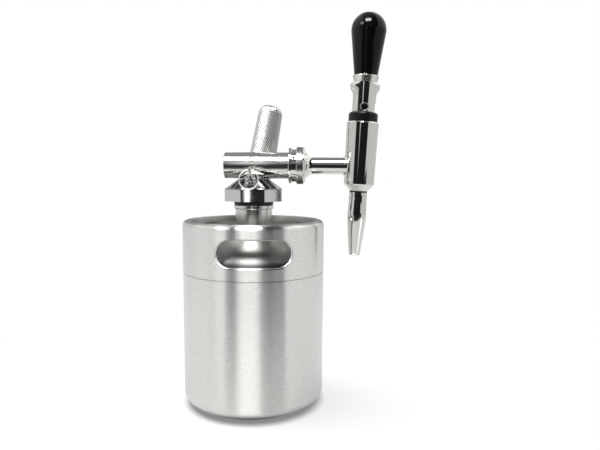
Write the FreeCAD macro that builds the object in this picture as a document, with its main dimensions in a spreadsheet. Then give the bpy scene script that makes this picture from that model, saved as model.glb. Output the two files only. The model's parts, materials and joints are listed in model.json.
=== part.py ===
import FreeCAD, Part
import math
import os
import Sketcher

# Nitro cold brew coffee keg: a two litre steel keg with a screw-in dispenser head,
# a gas charger behind it and a stout tap on its side.
# Millimetres. The origin is the centre of the keg's foot on the table, +Z is up,
# +X points from the keg to the tap and -Y is the front, where the relief valve is.

doc = FreeCAD.newDocument("NitroKeg")
sheet = doc.addObject("Spreadsheet::Sheet", "Sizes")
pieces = []


class Size:
    """A length or an angle that carries its number and its formula on the sheet."""

    def __init__(self, value, formula):
        self.value = float(value)
        self.formula = formula

    def __add__(self, other):
        other = as_size(other)
        return Size(self.value + other.value, f"({self.formula} + {other.formula})")

    def __radd__(self, other):
        return as_size(other) + self

    def __sub__(self, other):
        other = as_size(other)
        return Size(self.value - other.value, f"({self.formula} - {other.formula})")

    def __rsub__(self, other):
        return as_size(other) - self

    def __mul__(self, other):
        other = as_size(other)
        return Size(self.value * other.value, f"({self.formula} * {other.formula})")

    def __rmul__(self, other):
        return as_size(other) * self

    def __truediv__(self, other):
        other = as_size(other)
        return Size(self.value / other.value, f"({self.formula} / {other.formula})")

    def __neg__(self):
        return Size(-self.value, f"(0 - {self.formula})")


def as_size(number):
    """Turn a plain number into a Size."""
    if isinstance(number, Size):
        return number
    return Size(number, f"({number:.6f})")


def sine(angle):
    """Sine of an angle in degrees."""
    return Size(math.sin(math.radians(angle.value)), f"sin({angle.formula} * 1deg)")


def cosine(angle):
    """Cosine of an angle in degrees."""
    return Size(math.cos(math.radians(angle.value)), f"cos({angle.formula} * 1deg)")


def root(number):
    """Square root."""
    return Size(math.sqrt(number.value), f"sqrt({number.formula})")


def size(name, value):
    """Write one driving size on the sheet and return it."""
    size.row += 1
    sheet.set(f"A{size.row}", name)
    sheet.set(f"B{size.row}", str(value))
    sheet.setAlias(f"B{size.row}", name)
    return Size(value, f"Sizes.{name}")


size.row = 0

# Keg
keg_radius = size("keg_radius", 65.0)
keg_wall = size("keg_wall", 1.0)
shell_step = size("shell_step", 0.2)
seam_height = size("seam_height", 123.0)
seam_flange = size("seam_flange", 0.8)
seam_recess = size("seam_recess", 0.6)
skirt_height = size("skirt_height", 47.0)
rim_roll = size("rim_roll", 4.5)
shell_lift = size("shell_lift", 4.5)
shell_corner = size("shell_corner", 7.5)
dish_radius = size("dish_radius", 36.0)
dish_rise = size("dish_rise", 3.5)
foot_radius = size("foot_radius", 48.5)
foot_width = size("foot_width", 4.0)
foot_flare = size("foot_flare", 3.0)
hand_hole_width = size("hand_hole_width", 62.0)
hand_hole_height = size("hand_hole_height", 23.0)
hand_hole_rise = size("hand_hole_rise", 22.7)
hand_hole_turn = size("hand_hole_turn", 7.5)
lip_depth = size("lip_depth", 1.7)
lip_round = size("lip_round", 1.2)
dome_gap = size("dome_gap", 0.5)
knuckle_rise = size("knuckle_rise", 4.0)
knuckle_radius = size("knuckle_radius", 14.0)
knuckle_sweep = size("knuckle_sweep", 60.0)
crown_radius = size("crown_radius", 220.0)
neck_radius = size("neck_radius", 17.0)
neck_bore = size("neck_bore", 14.2)
neck_rise = size("neck_rise", 14.0)
neck_length = size("neck_length", 23.0)
bead_height = size("bead_height", 4.0)
bead_out = size("bead_out", 1.25)
gasket_radius = size("gasket_radius", 18.0)
gasket_thick = size("gasket_thick", 3.3)

# Fits
thread_gap = size("thread_gap", 0.3)
seat_gap = size("seat_gap", 0.3)
running_gap = size("running_gap", 0.06)
weld_gap = size("weld_gap", 0.05)

# Dispenser head
nut_corner = size("nut_corner", 28.1)
nut_round = size("nut_round", 3.0)
nut_height = size("nut_height", 12.0)
nut_turn = size("nut_turn", 27.5)
nut_crown = size("nut_crown", 25.6)
nut_crown_slope = size("nut_crown_slope", 30.0)
cone_foot = size("cone_foot", 25.2)
cone_top = size("cone_top", 14.0)
cone_height = size("cone_height", 8.2)
boss_radius = size("boss_radius", 10.5)
spigot_length = size("spigot_length", 21.3)
boss_neck = size("boss_neck", 0.35)
tube_radius = size("tube_radius", 12.1)
tube_bore = size("tube_bore", 9.6)
tube_left = size("tube_left", 26.5)
tube_bevel = size("tube_bevel", 0.6)
plug_thick = size("plug_thick", 3.0)
dip_radius = size("dip_radius", 4.0)
dip_wall = size("dip_wall", 0.8)
dip_gap = size("dip_gap", 5.0)
ring_wire = size("ring_wire", 1.0)
dip_ring_rise = size("dip_ring_rise", 2.7)
channel_radius = size("channel_radius", 1.3)
channel_offset = size("channel_offset", 9.5)
channel_rise = size("channel_rise", 5.7)

# Relief valve on the front of the cone
valve_tilt = size("valve_tilt", 40.0)
valve_reach = size("valve_reach", 19.0)
valve_pad = size("valve_pad", 5.8)
valve_tail = size("valve_tail", 3.5)
valve_tail_length = size("valve_tail_length", 5.0)
valve_hex = size("valve_hex", 5.6)
valve_hex_length = size("valve_hex_length", 2.8)
valve_cap = size("valve_cap", 4.5)
valve_cap_length = size("valve_cap_length", 4.2)
valve_vent = size("valve_vent", 0.8)
valve_vent_along = size("valve_vent_along", 4.9)
valve_bore = size("valve_bore", 2.5)
valve_roof = size("valve_roof", 1.2)
stem_radius = size("stem_radius", 1.6)
stem_disc = size("stem_disc", 2.3)
seal_thick = size("seal_thick", 0.8)
eye_along = size("eye_along", 15.1)
eye_radius = size("eye_radius", 1.0)
eye_end = size("eye_end", 2.1)
pull_ring_radius = size("pull_ring_radius", 8.5)
pull_ring_wire = size("pull_ring_wire", 0.6)
pull_ring_aside = size("pull_ring_aside", 0.8)

# Gas port and charger behind the tube
port_tilt = size("port_tilt", 13.0)
port_azimuth = size("port_azimuth", 45.0)
port_across = size("port_across", 2.2)
port_back = size("port_back", 25.0)
port_rise = size("port_rise", 11.7)
port_pad = size("port_pad", 6.0)
port_tail = size("port_tail", 4.0)
port_tail_length = size("port_tail_length", 8.5)
port_collar = size("port_collar", 11.5)
port_collar_length = size("port_collar_length", 3.0)
port_stud = size("port_stud", 9.7)
port_stud_length = size("port_stud_length", 9.5)
port_socket = size("port_socket", 4.6)
port_floor = size("port_floor", 0.3)
pin_hole = size("pin_hole", 0.8)
cage_radius = size("cage_radius", 2.0)
ball_radius = size("ball_radius", 1.7)
ball_seat = size("ball_seat", 4.0)
ball_drop = size("ball_drop", 1.56)
pin_base = size("pin_base", 0.6)
pin_radius = size("pin_radius", 0.9)
pin_length = size("pin_length", 0.9)
port_seal_thick = size("port_seal_thick", 1.0)
holder_foot = size("holder_foot", 13.4)
holder_top = size("holder_top", 11.55)
holder_shoulder = size("holder_shoulder", 61.8)
holder_round = size("holder_round", 8.0)
holder_tip = size("holder_tip", 4.0)
holder_length = size("holder_length", 68.6)
holder_bore = size("holder_bore", 9.25)
holder_roof = size("holder_roof", 1.2)
cartridge_radius = size("cartridge_radius", 8.9)
cartridge_neck = size("cartridge_neck", 4.3)
cartridge_neck_length = size("cartridge_neck_length", 8.5)
cartridge_shoulder = size("cartridge_shoulder", 7.0)

# Coupling between the tube and the tap
coupling_left = size("coupling_left", 32.7)
coupling_radius = size("coupling_radius", 16.4)
coupling_length = size("coupling_length", 14.5)
coupling_flange = size("coupling_flange", 2.5)
coupling_groove = size("coupling_groove", 4.0)
coupling_groove_radius = size("coupling_groove_radius", 15.1)
coupling_bevel = size("coupling_bevel", 1.1)
coupling_lip = size("coupling_lip", 2.1)
coupling_bore = size("coupling_bore", 13.8)
spanner_hole = size("spanner_hole", 1.35)
spanner_turn = size("spanner_turn", 27.0)
tube_flange = size("tube_flange", 1.5)
shank_seal_thick = size("shank_seal_thick", 1.5)

# Tap
tap_reach = size("tap_reach", 97.5)
tap_lean = size("tap_lean", 2.9)
shank_radius = size("shank_radius", 7.85)
shank_bore = size("shank_bore", 5.0)
shank_mouth = size("shank_mouth", 12.9)
shank_flare = size("shank_flare", 6.0)
weld_fillet = size("weld_fillet", 2.6)
barrel_low = size("barrel_low", 13.6)
barrel_joint = size("barrel_joint", 14.05)
barrel_high = size("barrel_high", 14.4)
barrel_bore = size("barrel_bore", 10.5)
barrel_drop = size("barrel_drop", 17.5)
joint_along = size("joint_along", 12.6)
upper_barrel = size("upper_barrel", 27.0)
barrel_bevel = size("barrel_bevel", 1.2)
joint_spigot = size("joint_spigot", 12.0)
joint_spigot_length = size("joint_spigot_length", 7.0)
outlet_drop = size("outlet_drop", 5.1)
outlet_radius = size("outlet_radius", 8.35)
seat_rise = size("seat_rise", 5.5)
spigot_radius = size("spigot_radius", 6.5)
spout_neck = size("spout_neck", 7.0)
spout_neck_length = size("spout_neck_length", 1.5)
spout_radius = size("spout_radius", 8.2)
spout_waist = size("spout_waist", 8.15)
spout_waist_drop = size("spout_waist_drop", 10.0)
spout_belly = size("spout_belly", 8.5)
spout_belly_drop = size("spout_belly_drop", 22.0)
spout_knee = size("spout_knee", 8.2)
spout_knee_drop = size("spout_knee_drop", 30.0)
spout_tip = size("spout_tip", 5.1)
spout_length = size("spout_length", 59.3)
spout_curve = size("spout_curve", 60.0)
spout_bore = size("spout_bore", 4.6)
spout_mouth = size("spout_mouth", 4.2)
disc_radius = size("disc_radius", 5.2)
disc_thick = size("disc_thick", 1.3)
disc_hole = size("disc_hole", 0.8)
disc_circle = size("disc_circle", 2.9)
spout_ring_wire = size("spout_ring_wire", 0.6)
collar_radius = size("collar_radius", 13.2)
collar_length = size("collar_length", 8.5)
collar_gland = size("collar_gland", 7.5)
collar_bevel = size("collar_bevel", 1.8)
shaft_radius = size("shaft_radius", 4.0)
shaft_waist = size("shaft_waist", 3.0)
shaft_waist_rise = size("shaft_waist_rise", 22.0)
shaft_disc = size("shaft_disc", 8.6)
shaft_disc_thick = size("shaft_disc_thick", 2.0)
seat_seal_radius = size("seat_seal_radius", 9.0)
seat_seal_thick = size("seat_seal_thick", 2.0)
shaft_ring_drop = size("shaft_ring_drop", 4.1)
pivot_rise = size("pivot_rise", 4.1)
pivot_radius = size("pivot_radius", 2.5)
pivot_head = size("pivot_head", 3.2)
pivot_head_depth = size("pivot_head_depth", 2.2)
pivot_socket = size("pivot_socket", 1.7)
pivot_recess = size("pivot_recess", 3.7)
lever_radius = size("lever_radius", 10.45)
lever_rise = size("lever_rise", 22.4)
lever_heel = size("lever_heel", 4.1)
lever_slot = size("lever_slot", 4.3)
lever_slot_rise = size("lever_slot_rise", 6.2)
ear_reach = size("ear_reach", 13.2)
ear_height = size("ear_height", 4.4)
ear_round = size("ear_round", 4.5)
ear_fade = size("ear_fade", 6.5)
ear_curve = size("ear_curve", 8.0)
ferrule_radius = size("ferrule_radius", 10.6)
ferrule_gap = size("ferrule_gap", 0.1)
ferrule_length = size("ferrule_length", 5.9)
stud_radius = size("stud_radius", 5.0)
stud_depth = size("stud_depth", 11.4)
stud_reach = size("stud_reach", 24.6)
knob_foot = size("knob_foot", 10.65)
knob_radius = size("knob_radius", 15.7)
knob_flank = size("knob_flank", 37.8)
knob_length = size("knob_length", 55.9)

doc.recompute()


class Axis:
    """A line that pieces are turned about: a foot, a compass angle and a tilt from upright."""

    def __init__(self, foot, azimuth, tilt):
        self.foot = [as_size(number) for number in foot]
        self.azimuth = as_size(azimuth)
        self.tilt = as_size(tilt)
        lean = sine(self.tilt)
        self.direction = [lean * cosine(self.azimuth), lean * sine(self.azimuth), cosine(self.tilt)]

    def point(self, along):
        """The point at a distance along the axis."""
        return [base + along * part for base, part in zip(self.foot, self.direction)]


# Heights worked out from the sizes, from the table up
shell_top = seam_height - seam_flange / 2
skirt_foot = seam_height + seam_flange / 2
dish_height = shell_lift + dish_rise
dip_foot = dish_height + keg_wall + dip_gap
knuckle_height = seam_height + knuckle_rise
hand_hole_middle = seam_height + hand_hole_rise
rim_height = seam_height + skirt_height
neck_top = rim_height + neck_rise
neck_root = neck_top - neck_length
nut_bottom = neck_top + gasket_thick
nut_top = nut_bottom + nut_height
dip_ring_height = nut_bottom + dip_ring_rise
channel_height = nut_bottom + channel_rise
port_height = nut_top + port_rise
cone_peak = nut_top + cone_height
tube_height = cone_peak + boss_neck + tube_radius
cone_slope = cone_height / (cone_foot - cone_top)
valve_foot = nut_top + (cone_foot - valve_reach) * cone_slope

# Places along the tap's own axis, from the side arm up and down
barrel_top = joint_along + upper_barrel
collar_top = barrel_top + collar_length
shaft_ring_along = barrel_top - shaft_ring_drop
pivot_along = collar_top + pivot_rise
lever_slot_top = pivot_along + lever_slot_rise
lever_top_along = pivot_along + lever_rise
ferrule_foot = lever_top_along + ferrule_gap
stud_low = lever_top_along - stud_depth
stud_high = lever_top_along + stud_reach
barrel_foot = -barrel_drop
seat_along = barrel_foot + seat_rise
shaft_waist_along = seat_along + shaft_waist_rise
outlet_along = barrel_foot - outlet_drop
spout_waist_along = outlet_along - spout_waist_drop
spout_belly_along = outlet_along - spout_belly_drop
spout_knee_along = outlet_along - spout_knee_drop
spout_tip_along = outlet_along - spout_length

upright = Axis((0, 0, 0), 0, 0)
tube_axis = Axis((0, 0, tube_height), 0, 90)
tap_axis = Axis((tap_reach, 0, tube_height), 0, tap_lean)
valve_axis = Axis((0, -valve_reach, valve_foot), -90, valve_tilt)
port_axis = Axis((port_across, port_back, port_height), port_azimuth, port_tilt)


def bind(thing, path, value):
    """Tie one property of an object to its formula."""
    thing.setExpression(path, as_size(value).formula)


def place(thing, axis, along=0):
    """Stand an object on an axis, at a distance from the axis's foot."""
    for letter, value in zip("xyz", axis.point(as_size(along))):
        bind(thing, f"Placement.Base.{letter}", value)
    turn_x = -sine(axis.azimuth)
    turn_y = cosine(axis.azimuth)
    hinge = FreeCAD.Vector(turn_x.value, turn_y.value, 0)
    thing.Placement = FreeCAD.Placement(FreeCAD.Vector(), FreeCAD.Rotation(hinge, axis.tilt.value))
    bind(thing, "Placement.Rotation.Angle", axis.tilt)
    return thing


def plane_of(body, role):
    """Find one of a body's own origin planes."""
    for feature in body.Origin.OriginFeatures:
        if feature.Role == role:
            return feature
    raise ValueError(f"{body.Label} has no {role}")


def new_sketch(body, role):
    """Start a sketch on one of a body's own origin planes."""
    sketch = body.newObject("Sketcher::SketchObject", "Sketch")
    sketch.AttachmentSupport = [(plane_of(body, role), "")]
    sketch.MapMode = "FlatFace"
    return sketch


def arc_between(start, end, radius, side):
    """The short arc from start to end, with its centre on the left (1) or the right (-1)."""
    middle = (start + end) * 0.5
    chord = end - start
    height = math.sqrt(max(radius ** 2 - chord.Length ** 2 / 4, 0))
    left = FreeCAD.Vector(-chord.y, chord.x, 0).normalize()
    centre = middle + left * (height * side)
    crown = centre - left * (radius * side)
    return Part.Arc(start, crown, end) if side > 0 else Part.Arc(end, crown, start)


def draw_outline(sketch, corners):
    """Draw a closed outline. A corner is (across, up), or (across, up, radius, side)
    where the stretch that leaves it is an arc."""
    points = [FreeCAD.Vector(as_size(c[0]).value, as_size(c[1]).value, 0) for c in corners]
    total = len(corners)
    tied = []
    for number, corner in enumerate(corners):
        start = points[number]
        end = points[(number + 1) % total]
        if len(corner) == 4:
            radius = as_size(corner[2])
            edge = arc_between(start, end, radius.value, corner[3])
            index = sketch.addGeometry(edge, False)
            circle = sketch.Geometry[index]
            starts_first = circle.StartPoint.distanceToPoint(start) < circle.EndPoint.distanceToPoint(start)
            tied.append((1, 2) if starts_first else (2, 1))
            turn = sketch.addConstraint(Sketcher.Constraint("Radius", index, radius.value))
            sketch.setExpression(f"Constraints[{turn}]", radius.formula)
        else:
            index = sketch.addGeometry(Part.LineSegment(start, end), False)
            tied.append((1, 2))
    for number, corner in enumerate(corners):
        after = (number + 1) % total
        join = Sketcher.Constraint("Coincident", number, tied[number][1], after, tied[after][0])
        sketch.addConstraint(join)
        for kind, value in (("DistanceX", corner[0]), ("DistanceY", corner[1])):
            value = as_size(value)
            rule = Sketcher.Constraint(kind, -1, 1, number, tied[number][0], value.value)
            index = sketch.addConstraint(rule)
            sketch.setExpression(f"Constraints[{index}]", value.formula)


def turned(name, corners, axis=upright):
    """A solid of revolution about an axis, from its outline of (radius, along)."""
    body = doc.addObject("PartDesign::Body", name)
    sketch = new_sketch(body, "XZ_Plane")
    draw_outline(sketch, corners)
    turn = body.newObject("PartDesign::Revolution", "Turn")
    turn.Profile = sketch
    turn.ReferenceAxis = (sketch, ["V_Axis"])
    turn.Angle = 360
    body.Tip = turn
    return place(body, axis)


def ring(name, inner, outer, low, high, axis=upright):
    """A plain washer between two radii."""
    return turned(name, [(inner, low), (outer, low), (outer, high), (inner, high)], axis)


def rod(name, radius, low, high, axis=upright):
    """A plain round bar along an axis."""
    thing = doc.addObject("Part::Cylinder", name)
    bind(thing, "Radius", radius)
    bind(thing, "Height", as_size(high) - low)
    return place(thing, axis, low)


def hoop(name, radius, wire, along, axis=upright):
    """A round ring of round wire."""
    thing = doc.addObject("Part::Torus", name)
    bind(thing, "Radius1", radius)
    bind(thing, "Radius2", wire)
    return place(thing, axis, along)


def fused(name, *shapes):
    """Several shapes made one."""
    thing = doc.addObject("Part::MultiFuse", name)
    thing.Shapes = list(shapes)
    thing.Refine = True
    return thing


def cut(name, base, *tools):
    """A shape with others taken out of it."""
    thing = doc.addObject("Part::Cut", name)
    thing.Base = base
    thing.Tool = tools[0] if len(tools) == 1 else fused(f"{name}_tools", *tools)
    thing.Refine = True
    return thing


def common(name, first, second):
    """What two shapes share."""
    thing = doc.addObject("Part::Common", name)
    thing.Base = first
    thing.Tool = second
    return thing


def rounded(name, base, radius, chosen):
    """Round the edges that a test picks."""
    doc.recompute()
    thing = doc.addObject("Part::Fillet", name)
    thing.Base = base
    edges = base.Shape.Edges
    picked = [number + 1 for number, edge in enumerate(edges) if chosen(edge)]
    if not picked:
        raise ValueError(f"{name} found no edge to round")
    thing.Edges = [(number, radius.value, radius.value) for number in picked]
    return thing


def piece(label, thing):
    """Register a finished piece under its name."""
    thing.Label = label
    pieces.append(thing)
    return thing


def keg():
    """The welded vessel: shell, foot, shoulder with its neck, and skirt."""
    inside = keg_radius - keg_wall
    shell_radius = keg_radius - shell_step
    shell_inside = shell_radius - keg_wall
    corner_height = shell_lift + shell_corner
    dish_foot = dish_radius + 6
    piece("lower_shell", turned("Shell", [
        (shell_radius, shell_top),
        (shell_radius, corner_height, shell_corner, -1),
        (shell_radius - shell_corner, shell_lift),
        (dish_foot, shell_lift),
        (dish_radius, dish_height),
        (0, dish_height),
        (0, dish_height + keg_wall),
        (dish_radius + keg_wall / 2, dish_height + keg_wall),
        (dish_foot + keg_wall / 2, shell_lift + keg_wall),
        (shell_radius - shell_corner, shell_lift + keg_wall, shell_corner - keg_wall, 1),
        (shell_inside, corner_height),
        (shell_inside, shell_top),
    ]))

    foot_out = foot_radius + foot_width / 2
    foot_in = foot_radius - foot_width / 2
    piece("foot_ring", turned("Foot", [
        (foot_out, 0),
        (foot_out + foot_flare, shell_lift),
        (foot_out + foot_flare - keg_wall, shell_lift),
        (foot_out - keg_wall / 2, keg_wall),
        (foot_in + keg_wall / 2, keg_wall),
        (foot_in - foot_flare / 2 + keg_wall, shell_lift),
        (foot_in - foot_flare / 2, shell_lift),
        (foot_in, 0),
    ]))

    dome_out = inside - dome_gap
    knuckle_middle = dome_out - knuckle_radius
    knuckle_in = knuckle_radius - keg_wall
    crown_foot = (
        knuckle_middle + knuckle_radius * cosine(knuckle_sweep),
        knuckle_height + knuckle_radius * sine(knuckle_sweep),
    )
    crown_foot_in = (
        knuckle_middle + knuckle_in * cosine(knuckle_sweep),
        knuckle_height + knuckle_in * sine(knuckle_sweep),
    )
    bead_foot = neck_top - bead_height
    bead = neck_radius + bead_out
    piece("shoulder_dome", turned("Shoulder", [
        (dome_out - keg_wall, shell_top),
        (keg_radius - seam_recess, shell_top),
        (keg_radius - seam_recess, skirt_foot),
        (dome_out, skirt_foot),
        (dome_out, knuckle_height, knuckle_radius, 1),
        (crown_foot[0], crown_foot[1], crown_radius, 1),
        (neck_radius, neck_root),
        (neck_radius, bead_foot),
        (bead, bead_foot + bead_out * 0.6),
        (bead, neck_top - bead_out * 0.6),
        (bead - bead_out * 0.6, neck_top),
        (neck_bore, neck_top),
        (neck_bore, neck_root - keg_wall),
        (neck_radius - keg_wall, neck_root - keg_wall, crown_radius - keg_wall, -1),
        (crown_foot_in[0], crown_foot_in[1], knuckle_in, -1),
        (dome_out - keg_wall, knuckle_height),
    ]))

    roll_middle = keg_radius - rim_roll
    roll_height = rim_height - rim_roll
    roll_in = rim_roll - keg_wall
    curl = roll_height - keg_wall
    skirt = turned("SkirtTurned", [
        (inside, skirt_foot),
        (keg_radius, skirt_foot),
        (keg_radius, roll_height, rim_roll, 1),
        (roll_middle, rim_height, rim_roll, 1),
        (roll_middle - rim_roll, roll_height),
        (roll_middle - rim_roll, curl),
        (roll_middle - roll_in, curl),
        (roll_middle - roll_in, roll_height, roll_in, -1),
        (roll_middle, rim_height - keg_wall, roll_in, -1),
        (inside, roll_height),
    ])
    opening = hand_slot("HandHole", keg_wall * 0)
    frame = hand_slot("HandHoleFrame", keg_wall)
    lip_zone = ring("LipZone", inside - lip_depth, keg_radius, skirt_foot, roll_height)
    lips = common("Lips", frame, lip_zone)
    holed = cut("SkirtHoled", fused("SkirtLipped", skirt, lips), opening)
    piece("top_skirt", rounded("Skirt", holed, lip_round, on_lip_edge))
    piece("neck_gasket", ring("Gasket", neck_bore + seat_gap, gasket_radius, neck_top, nut_bottom))


def hand_slot(name, grow):
    """The bar, with round ends, that cuts the two hand holes through the skirt."""
    body = doc.addObject("PartDesign::Body", name)
    sketch = new_sketch(body, "XZ_Plane")
    end = hand_hole_height / 2 + grow
    reach = hand_hole_width / 2 - hand_hole_height / 2
    draw_outline(sketch, [
        (reach, hand_hole_middle - end, end, 1),
        (reach + end, hand_hole_middle, end, 1),
        (reach, hand_hole_middle + end),
        (-reach, hand_hole_middle + end, end, 1),
        (-reach - end, hand_hole_middle, end, 1),
        (-reach, hand_hole_middle - end),
    ])
    pad = body.newObject("PartDesign::Pad", "Bar")
    pad.Profile = sketch
    pad.Midplane = True
    bind(pad, "Length", keg_radius * 2.4)
    body.Tip = pad
    body.Placement = FreeCAD.Placement(FreeCAD.Vector(), FreeCAD.Rotation(FreeCAD.Vector(0, 0, 1), 1))
    bind(body, "Placement.Rotation.Angle", hand_hole_turn)
    return body


def on_lip_edge(edge):
    """Is this edge on the outer mouth of a hand hole?"""
    box = edge.BoundBox
    low = hand_hole_middle.value - hand_hole_height.value / 2 - 0.1
    high = hand_hole_middle.value + hand_hole_height.value / 2 + 0.1
    if box.ZMin < low or box.ZMax > high:
        return False
    middle = edge.valueAt((edge.FirstParameter + edge.LastParameter) / 2)
    return abs(math.hypot(middle.x, middle.y) - keg_radius.value) < 0.05


def head():
    """The screwed head: octagon with its cone and spigot, tube, plug and dip tube."""
    octagon = doc.addObject("Part::Prism", "Octagon")
    octagon.Polygon = 8
    bind(octagon, "Circumradius", nut_corner)
    bind(octagon, "Height", nut_height)
    octagon.Placement = FreeCAD.Placement(FreeCAD.Vector(), FreeCAD.Rotation(FreeCAD.Vector(0, 0, 1), 1))
    bind(octagon, "Placement.Base.z", nut_bottom)
    bind(octagon, "Placement.Rotation.Angle", nut_turn)
    crown_drop = (nut_corner - nut_crown) * sine(nut_crown_slope) / cosine(nut_crown_slope)
    crown = turned("NutCrown", [
        (0, nut_bottom),
        (nut_corner, nut_bottom),
        (nut_corner, nut_top - crown_drop),
        (nut_crown, nut_top),
        (0, nut_top),
    ])
    nut = common("Nut", rounded("NutRounded", octagon, nut_round, is_upright_edge), crown)
    spigot_foot = nut_bottom - spigot_length
    spigot = neck_bore - thread_gap
    cone = turned("Cone", [
        (0, spigot_foot),
        (spigot - 1, spigot_foot),
        (spigot, spigot_foot + 1),
        (spigot, nut_bottom),
        (cone_foot, nut_bottom + 1),
        (cone_foot, nut_top),
        (cone_top, cone_peak),
        (boss_radius, cone_peak),
        (boss_radius, tube_height - tube_bore),
        (0, tube_height - tube_bore),
    ])
    valve_bed = rod("ValveBed", valve_pad, -valve_tail_length - 1, 0.5, valve_axis)
    collar_low = -seat_gap - port_collar_length
    port_bed = rod("PortBed", port_pad, collar_low - port_tail_length - 1, collar_low, port_axis)
    blank = fused("HeadBlank", nut, cone, valve_bed, port_bed)
    saddle = rod("Saddle", tube_radius + weld_gap, -tube_left, tube_left, tube_axis)
    dip_hole = rod("DipHole", dip_radius + weld_gap, spigot_foot - 1, tube_height)
    groove_depth = ring_wire * 2 + weld_gap * 3
    dip_groove = ring(
        "DipGroove", dip_radius, dip_radius + groove_depth,
        dip_ring_height - ring_wire - weld_gap, dip_ring_height + ring_wire + weld_gap,
    )
    valve_hole = rod("ValveHole", valve_tail + weld_gap, -valve_tail_length, 1, valve_axis)
    valve_run = (valve_reach - channel_offset) / sine(valve_tilt) + 1
    valve_way = rod("ValveWay", channel_radius, -valve_run, 0, valve_axis)
    front_way = Axis((0, -channel_offset, 0), 0, 0)
    front_channel = rod("FrontChannel", channel_radius, spigot_foot - 1, channel_height, front_way)
    tail_end = collar_low - port_tail_length
    port_hole = rod("PortHole", port_tail + weld_gap, tail_end, 0, port_axis)
    port_run = (port_height - channel_height) / cosine(port_tilt)
    port_way = rod("PortWay", channel_radius, -port_run, 0, port_axis)
    back_way = Axis((0, channel_offset, 0), 0, 0)
    back_channel = rod("BackChannel", channel_radius, spigot_foot - 1, channel_height, back_way)
    cross_way = Axis((0, channel_offset, channel_height), 90, 90)
    cross_channel = rod("CrossChannel", channel_radius, 0, port_back - channel_offset - 3, cross_way)
    piece("head_body", cut(
        "HeadBody", blank, saddle, dip_hole, dip_groove, valve_hole, valve_way, front_channel,
        port_hole, port_way, back_channel, cross_channel,
    ))

    flange_foot = coupling_left + coupling_lip + seat_gap / 2
    tube = turned("TubeTurned", [
        (0 + tube_bore, -tube_left),
        (tube_radius - tube_bevel, -tube_left),
        (tube_radius, tube_bevel - tube_left),
        (tube_radius, flange_foot),
        (coupling_bore - thread_gap, flange_foot),
        (coupling_bore - thread_gap, flange_foot + tube_flange),
        (tube_bore, flange_foot + tube_flange),
    ], tube_axis)
    dip_mouth = rod("DipMouth", dip_radius + weld_gap, tube_height - tube_radius - 1, tube_height)
    piece("body_tube", cut("BodyTube", tube, dip_mouth))
    piece("tube_plug", rod("TubePlug", tube_bore - weld_gap, -tube_left, plug_thick - tube_left, tube_axis))
    dip_top = tube_height - tube_bore + 1.5
    piece("dip_tube", ring("DipTube", dip_radius - dip_wall, dip_radius, dip_foot, dip_top))
    piece("dip_tube_ring", hoop("DipRing", dip_radius + weld_gap + ring_wire, ring_wire, dip_ring_height))


def is_upright_edge(edge):
    """Is this edge one of the octagon's corners?"""
    box = edge.BoundBox
    return box.ZLength > nut_height.value * 0.9


def relief_valve():
    """The relief valve on the cone, with its stem, spring, seal and pull ring."""
    tail_foot = -valve_tail_length + seat_gap
    hex_foot = as_size(0.5)
    cap_foot = hex_foot + valve_hex_length
    cap_top = cap_foot + valve_cap_length
    bore_top = cap_top - valve_roof
    body = turned("ValveTurned", [
        (valve_bore, tail_foot),
        (valve_tail, tail_foot),
        (valve_tail, hex_foot),
        (valve_cap, hex_foot),
        (valve_cap, cap_top - 0.6),
        (valve_cap - 0.6, cap_top),
        (stem_radius + running_gap, cap_top),
        (stem_radius + running_gap, bore_top),
        (valve_bore, bore_top),
    ], valve_axis)
    hexagon = doc.addObject("Part::Prism", "ValveHex")
    hexagon.Polygon = 6
    bind(hexagon, "Circumradius", valve_hex)
    bind(hexagon, "Height", valve_hex_length)
    place(hexagon, valve_axis, hex_foot)
    hex_bore = rod("ValveHexBore", valve_bore, 0, bore_top, valve_axis)
    vent_axis = Axis(valve_axis.point(valve_vent_along), -90, 90 + valve_tilt)
    vent = rod("ValveVent", valve_vent, 0, valve_cap + 1, vent_axis)
    housing = fused("ValveHousing", body, cut("ValveHexHoled", hexagon, hex_bore))
    piece("relief_body", cut("ReliefBody", housing, vent))

    seat = -valve_tail_length
    disc_foot = seat + seal_thick
    disc_top = disc_foot + 1
    stem_top = eye_along + eye_end
    stem = turned("StemTurned", [
        (0, disc_foot),
        (stem_disc, disc_foot),
        (stem_disc, disc_top),
        (stem_radius, disc_top),
        (stem_radius, stem_top - 0.6),
        (stem_radius - 0.6, stem_top),
        (0, stem_top),
    ], valve_axis)
    eye_axis = Axis(valve_axis.point(eye_along), 0, 90)
    eye = rod("StemEye", eye_radius, -stem_radius * 2, stem_radius * 2, eye_axis)
    piece("relief_stem", cut("ReliefStem", stem, eye))
    piece("relief_seal", rod("ReliefSeal", stem_disc, seat, disc_foot, valve_axis))
    piece("relief_spring", ring(
        "ReliefSpring", stem_radius + 0.15, valve_bore - 0.15, disc_top + 0.1, bore_top - 0.1, valve_axis,
    ))
    eye_point = valve_axis.point(eye_along)
    ring_axis = Axis((-pull_ring_aside, eye_point[1], eye_point[2] - pull_ring_radius), -90, 90)
    piece("pull_ring", hoop("PullRing", pull_ring_radius, pull_ring_wire, 0, ring_axis))


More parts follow.
